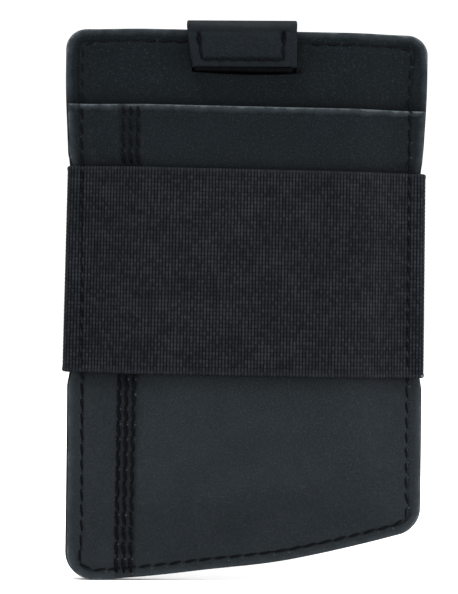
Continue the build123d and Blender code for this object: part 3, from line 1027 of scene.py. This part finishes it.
seamSteps = walk(seamLoop(), seamLine["pitch"], closed=True)
topSteps = [s for s in seamSteps if min(s[0][1], s[1][1]) > topZ - 2.75]
sideSteps = [s for s in seamSteps if s not in topSteps]
frontTop = [s for s in topSteps if all(not legLow.x - 0.4 < x < legHigh.x + 0.4 for x, z in s)]
for name, node, steps, faceAt, side, slant in (
        ("seamThreadFront", "seam_thread_front", sideSteps, frontmost, 1, 0.19),
        ("seamThreadBack", "seam_thread_back", sideSteps, backmost, -1, 0.1),
        ("cardPocketTopThread", "card_pocket_top_thread", frontTop, cardFace, 1, 0.19),
        ("backTopThread", "back_top_thread", topSteps, backFace, -1, 0.1)):
    stitches(name, steps, faceAt, side, bars["seam"], slant, thread, "wallet", [node])
clearSpots = clearOfBand(holesOf(sideSteps), 0.6)
bandSpots = [s for s in holesOf(sideSteps) if s not in clearSpots]
needleHoles("seamHolesFront", clearSpots + holesOf(frontTop), frontmost, 1, "wallet", 0.78, besideSeam)
needleHoles("seamHolesBand", bandSpots, frontmost, 1, "wallet", 0.85)
needleHoles("seamHolesBack", holesOf(sideSteps) + holesOf(topSteps), backmost, -1, "wallet")

accentNodes = {-1: "accent_thread_left", 0: "accent_thread_middle", 1: "accent_thread_right"}
accentHoles = []
for row, node in accentNodes.items():
    start = mouthZ - mouth["lap"]
    count = int((mouthZ - bottomLine(accentX(row, 0)) - 0.2) / accents["pitch"])
    levels = [start - i * accents["pitch"] for i in range(count + 1)]
    steps = pairs([Vector((accentX(row, level), level)) for level in levels])
    stitches("accentThread" + str(row + 2), steps, pocketFace, 1, bars["accent"], 0.28,
             thread, "wallet", [node])
    accentHoles += [s for s in holesOf(steps) if s[1] < mouthZ - 1]
needleHoles("accentHoles", clearOfBand(accentHoles, 0.4), pocketFace, 1, "wallet", 0.98, besideAccent)
print("threads built")

looseEnd = [(x, bandLow.z - drop) for x, drop in ((33.9, 0.45), (34.3, 0.25), (34.8, 0.3), (35.2, 0.1))]
stitches("looseThread", pairs(looseEnd), lambda x, z: bandFront(min(33.0, x)) - 0.3, 1, bars["loose"], 0,
         paleThread, "wallet", [])

# Pull tab

tab = {
    "leftTop": -12.5, "leftBottom": -11.1, "rightTop": 9.1, "rightBottom": 9.15, "width": 21.0,
    "leather": 0.9, "bottom": tabLow.z, "top": tabHigh.z, "rounding": 0.3, "sunk": 0.1,
    "cushion": 0.16, "cushionRun": 3.0, "crease": 0.28, "creaseDrop": 1.1, "creaseWidth": 0.6,
    "groove": 0.15, "grooveWidth": 0.42, "rollOut": 0.06, "rollRise": 1.02, "rollHighlight": 0.2, "keptNap": 1.6,
    "footUp": (0.33, 0.58), "topUp": (-0.43, -0.1),  # how far the left and right sides are shifted up
    "stitchLeftTop": -10.05, "stitchLeftBottom": -9.45, "stitchRight": 6.45,
    "stitchTop": 107.1, "stitchBottom": 101.75, "rightHigher": 0.4,
    "pitch": 2.75, "tackOut": 0.42, "tackUp": 0.3, "tackLength": 2.7,
}
tabFront = seamY - tabLow.y
tabBack = seamY - tabHigh.y
tabMiddle = (tabFront + tabBack) / 2
rollRadius = (tabFront - tabBack) / 2
rollZ = tab["top"] - rollRadius
rollLength = math.pi * rollRadius
frontRun = rollZ - tab["bottom"]


def tabSpan(z):
    up = clamp((z - tab["bottom"]) / (tab["top"] - tab["bottom"]))
    return mix(tab["leftBottom"], tab["leftTop"], up), mix(tab["rightBottom"], tab["rightTop"], up)


# The tab hangs a touch askew and a little shorter than its cut length
def tabLevel(across, z):
    up = (z - tab["bottom"]) / (tab["top"] - tab["bottom"])
    return z + mix(mix(*tab["footUp"], across), mix(*tab["topUp"], across), up)


# Distance to the U of stitching, which is open at the fold
def tabStitchDistance(x, z):
    up = clamp((z - tab["stitchBottom"]) / (tab["stitchTop"] - tab["stitchBottom"]))
    left = mix(tab["stitchLeftBottom"], tab["stitchLeftTop"], up)
    inside = tab["stitchBottom"] <= z <= tab["stitchTop"] + 0.5
    upright = min(abs(x - left), abs(x - tab["stitchRight"])) if inside else noSeam
    between = tab["stitchLeftBottom"] <= x <= tab["stitchRight"]
    level = abs(z - tab["stitchBottom"]) if between else noSeam
    return min(upright, level)


def tabLeafFace(x, z):
    left, right = tabSpan(z)
    middle = (2 * x - left - right) / (right - left)
    cushion = tab["cushion"] * (1 - middle ** 4) * smooth((z - tab["bottom"]) / tab["cushionRun"])
    crease = tab["crease"] * math.exp(-(((z - rollZ + tab["creaseDrop"]) / tab["creaseWidth"]) ** 2))
    groove = tab["groove"] * math.exp(-((tabStitchDistance(x, z) / tab["grooveWidth"]) ** 2))
    return tabFront + cushion - crease - groove - tab["sunk"]


# run goes up the front leaf, over the fold and down the back leaf
def tabPlace(across, run):
    past = run - frontRun
    onFront, onBack = past <= 0, past > rollLength
    level = tab["bottom"] + run if onFront else rollZ - (past - rollLength) if onBack else rollZ
    left, right = tabSpan(level)
    x = mix(left, right, across)
    toSide = min(x - left, right - x)
    if onFront:
        rim = min(run, toSide)
        depth = tabLeafFace(x, level) - rounded(max(0.0, rim), tab["rounding"])
        # Near the fold the rim value drops, so the rim masks paint a highlight on the top of the front leaf
        worn = min(rim + tab["keptNap"], max(0.4, rollZ - level + 0.4))
        return x, depth, tabLevel(across, level), worn, tabStitchDistance(x, level)
    if onBack:
        rim = min(level - tab["bottom"], toSide)
        depth = tabBack + rounded(max(0.0, rim), tab["rounding"])
        return x, depth, tabLevel(across, level), rim + tab["keptNap"], noSeam
    # On the roll the rim value is kept small, which paints a highlight along the fold
    angle = past / rollRadius
    radius = rollRadius + tab["rollOut"] - rounded(max(0.0, toSide), tab["rounding"])
    z = rollZ + radius * math.sin(angle) * tab["rollRise"]
    return x, tabMiddle + radius * math.cos(angle), tabLevel(across, z), tab["rollHighlight"], noSeam


tabAcross = edged(0, 1, 0.05, 0.35 / tab["width"], 0.001, [s / tab["width"] for s in edgeSteps])
backEnd = 2 * frontRun + rollLength
tabRuns = tidyList(edgeSteps + spread(1, frontRun, 0.32) + spread(frontRun, frontRun + rollLength, 0.28)
                   + spread(frontRun + rollLength, backEnd - 1, 0.5) + [backEnd - s for s in edgeSteps])


def fromTabMiddle(point):
    return Vector((0, point.y - (seamY - tabMiddle) * mm, max(0, point.z - rollZ * mm)))


tabPiece = sheet("tabLeather", tabAcross, tabRuns, tabPlace, tab["leather"],
                 [tabLeather, cutEdge], fromTabMiddle)
settle(tabPiece, "tab", ["pull_tab"])


def onTab(x, z):
    left, right = tabSpan(z)
    return x, tabLevel((x - left) / (right - left), z)


rightTop = tab["stitchTop"] + tab["rightHigher"]
uCorners = [Vector(spot) for spot in (
    (tab["stitchLeftTop"], tab["stitchTop"]), (tab["stitchLeftBottom"], tab["stitchBottom"]),
    (tab["stitchRight"], tab["stitchBottom"]), (tab["stitchRight"], rightTop))]
tabSteps = [step for a, b in zip(uCorners, uCorners[1:]) for step in walk([a, b], tab["pitch"])]
tabSteps = [(onTab(*a), onTab(*b)) for a, b in tabSteps]
stitches("tabThread", tabSteps, tabLeafFace, 1, bars["tab"], 0.22, thread, "tab", ["tab_thread"])
tacks = []
for x, top in ((tab["stitchLeftTop"] + 0.05, tab["stitchTop"]), (tab["stitchRight"], rightTop)):
    for out in (-tab["tackOut"], tab["tackOut"]):
        leaf = [(x + out * math.sin(math.pi * t), top + tab["tackUp"] - tab["tackLength"] * t)
                for t in (0.04, 0.3, 0.62, 0.96)]
        tacks += pairs([onTab(*spot) for spot in leaf])
stitches("tabTacks", tacks, tabLeafFace, 1, bars["tack"], 0, thread, "tab", ["tab_tack_threads"])
needleHoles("tabHoles", holesOf(tabSteps), tabLeafFace, 1, "tab", 0.8)
needleHoles("tabHolesBack", holesOf(tabSteps), lambda x, z: -tabBack + 0.02, -1, "tab", 0.5)
print("pull tab built")

# Pull strap

strap = {"width": legHigh.x - legLow.x, "left": legLow.x, "thickness": 0.6, "rounding": 0.25,
         "neckReach": 1.1, "neckRise": 0.8, "foldRise": 3.0, "travel": 18.0}
strapDepth = seamY - foldLow.y - strap["thickness"] / 2


# A line of (depth, z) points with its corners rounded
def bent(points, radius):
    line = [Vector(points[0])]
    for before, corner, after in zip(points, points[1:], points[2:]):
        before, corner, after = Vector(before), Vector(corner), Vector(after)
        reach = min(radius, (before - corner).length * 0.45, (after - corner).length * 0.45)
        start = corner + (before - corner).normalized() * reach
        end = corner + (after - corner).normalized() * reach
        for i in range(7):
            t = i / 6
            line.append(start.lerp(corner, t).lerp(corner.lerp(end, t), t))
    line.append(Vector(points[-1]))
    return line


def strapPiece(name, points, nodes, body=None, radius=0.6, step=0.8):
    line = bent(points, radius)
    fine = [line[0]]
    for a, b in zip(line, line[1:]):
        fine += [a.lerp(b, s) for s in spread(0, 1, step / max(step, (b - a).length))[1:]]
    lengths = lengthsAlong(fine)
    half = strap["thickness"] / 2

    def direction(index):
        return (fine[min(len(fine) - 1, index + 1)] - fine[max(0, index - 1)]).normalized()

    def place(across, index):
        run = direction(index)
        rim = min(across, 1 - across) * strap["width"]
        point = fine[index] + Vector((run.y, -run.x)) * (half - rounded(rim, strap["rounding"]))
        return strap["left"] + across * strap["width"], point.x, point.y, rim, noSeam

    def outward(point):
        depth, z = seamY - point.y / mm, point.z / mm
        run = direction(min(range(len(fine)), key=lambda i: abs(fine[i].x - depth) + abs(fine[i].y - z)))
        return Vector((0, -run.y, -run.x))

    acrossSteps = edged(0, 1, 0.03, 0.05, 0.001, [s / strap["width"] for s in edgeSteps[:5]])
    piece = sheet(name, acrossSteps, list(range(len(fine))), place, strap["thickness"], [webbing], outward,
                  uvMap=lambda across, index: (across * strap["width"], lengths[index]))
    settle(piece, body, nodes)
    return piece


neckZ = tab["bottom"]
neckDepth = tabMiddle - strap["neckReach"]
legPath = [(strapDepth, legLow.z), (strapDepth, neckZ - 0.25), (strapDepth + 0.5, neckZ), (neckDepth, neckZ)]
strapPiece("strapLeg", legPath, ["strap_leg"], "strap", radius=0.4)
neckPath = [(neckDepth - 0.05, neckZ), (tabMiddle, neckZ), (tabMiddle, neckZ + strap["neckRise"])]
neck = strapPiece("strapNeck", neckPath, [], step=0.12)
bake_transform(neck)
strapPiece("strapTabEnd", [(tabMiddle, neckZ + 0.4), (tabMiddle, rollZ - 0.5)], ["strap_tab_end"], "tab")

frontRunLow, frontRunHigh = boxOf("strap_front_run")
runPath = [(strapDepth, frontRunLow.z - 0.1), (strapDepth, frontRunHigh.z + 0.1)]
runPiece = strapPiece("strapFrontRun", runPath, ["strap_front_run"])
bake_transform(runPiece)

foldZ = foldHigh.z - strap["foldRise"]
foldLine = [(strapDepth * math.cos(math.radians(a)), foldZ - strapDepth * math.sin(math.radians(a)))
            for a in range(0, 181, 12)]
foldLine = [(strapDepth, foldHigh.z)] + foldLine + [(-strapDepth, foldHigh.z)]
strapPiece("strapFold", foldLine, ["strap_fold"], "strap_loop", radius=0.2)

rearLow, rearHigh = boxOf("strap_rear_run")
rearPath = [(-strapDepth, rearLow.z - 0.1), (-strapDepth, rearHigh.z)]
rear = strapPiece("strapRearRun", rearPath, ["strap_rear_run"], "wallet")
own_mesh(rear)
anchorDepth = seamY - (anchorLow.y + anchorHigh.y) / 2
anchorPath = [(anchorDepth, anchorLow.z), (anchorDepth, anchorHigh.z)]
strapPiece("strapAnchor", anchorPath, ["strap_anchor"], "wallet")
boxLow, boxHigh = boxOf("strap_anchor_thread")
lowX, highX, lowZ, highZ = boxLow.x + 0.3, boxHigh.x - 0.3, boxLow.z + 0.3, boxHigh.z - 0.3
boxCorners = [Vector(spot) for spot in ((lowX, lowZ), (highX, lowZ), (highX, highZ), (lowX, highZ))]
boxSteps = [s for a, b in zip(boxCorners, boxCorners[1:] + boxCorners[:1]) for s in walk([a, b], 2.7)]
stitches("anchorThread", boxSteps, lambda x, z: anchorDepth + strap["thickness"] / 2, 1, bars["anchor"], 0.08,
         thread, "wallet", ["strap_anchor_thread"])
print("pull strap built")

# Floor, light and camera

studio = {"floorColour": (0.92, 0.92, 0.92), "floorRoughness": 0.9, "worldStrength": 1.12}


def floorFinish():
    material = bpy.data.materials.new("paleFloor")
    material.use_nodes = True
    shader = material.node_tree.nodes["Principled BSDF"]
    shader.inputs["Base Color"].default_value = (*studio["floorColour"], 1)
    shader.inputs["Roughness"].default_value = studio["floorRoughness"]
    return material


floorMesh = bpy.data.meshes.new("floor")
bm = bmesh.new()
bmesh.ops.create_grid(bm, x_segments=2, y_segments=2, size=4)
bm.to_mesh(floorMesh)
bm.free()
floor = bpy.data.objects.new("floor", floorMesh)
floorMesh.materials.append(floorFinish())
bpy.context.scene.collection.objects.link(floor)

world = bpy.data.worlds.new("studio")
world.use_nodes = True
backdrop = world.node_tree.nodes["Background"]
backdrop.inputs["Color"].default_value = (1, 1, 1, 1)
backdrop.inputs["Strength"].default_value = studio["worldStrength"]
bpy.context.scene.world = world


def softbox(name, place, target, size, power):
    data = bpy.data.lights.new(name, "AREA")
    data.shape = "RECTANGLE"
    data.size, data.size_y = size
    data.energy = power
    light = bpy.data.objects.new(name, data)
    light.location = Vector(place)
    light.rotation_mode = "QUATERNION"
    light.rotation_quaternion = (Vector(target) - Vector(place)).to_track_quat("-Z", "Y")
    bpy.context.scene.collection.objects.link(light)


softbox("keyLight", (-0.15, -0.28, 0.8), (0, 0, 0.06), (0.4, 0.3), 9.0)
softbox("fillLight", (0.25, -0.7, 0.12), (0, 0, 0.02), (0.5, 0.2), 1.6)
softbox("sideLight", (0.55, -0.08, 0.16), (0, 0, 0.06), (0.3, 0.3), 2.2)
softbox("backLight", (0.25, 0.7, 0.5), (0, 0, 0.05), (0.6, 0.5), 4.0)

view = {"azimuth": -3.32, "elevation": 0.6, "roll": 0.81, "distance": 0.43,
        "x": -3.15, "z": 55.82, "lens": 132.35}
camera = bpy.data.objects.new("camera", bpy.data.cameras.new("camera"))
bpy.context.scene.collection.objects.link(camera)
a, e = math.radians(view["azimuth"]), math.radians(view["elevation"])
target = Vector((view["x"], 0, view["z"])) * mm
back = Vector((math.sin(a) * math.cos(e), -math.cos(a) * math.cos(e), math.sin(e)))
camera.location = target + back * view["distance"]
camera.rotation_mode = "QUATERNION"
roll = Quaternion((0, 0, 1), math.radians(view["roll"]))
camera.rotation_quaternion = (-back).to_track_quat("-Z", "Y") @ roll
camera.data.lens = view["lens"]
camera.data.sensor_width = 36
camera.data.clip_start = 0.01
bpy.context.scene.camera = camera
bpy.context.scene.view_settings.view_transform = "Standard"
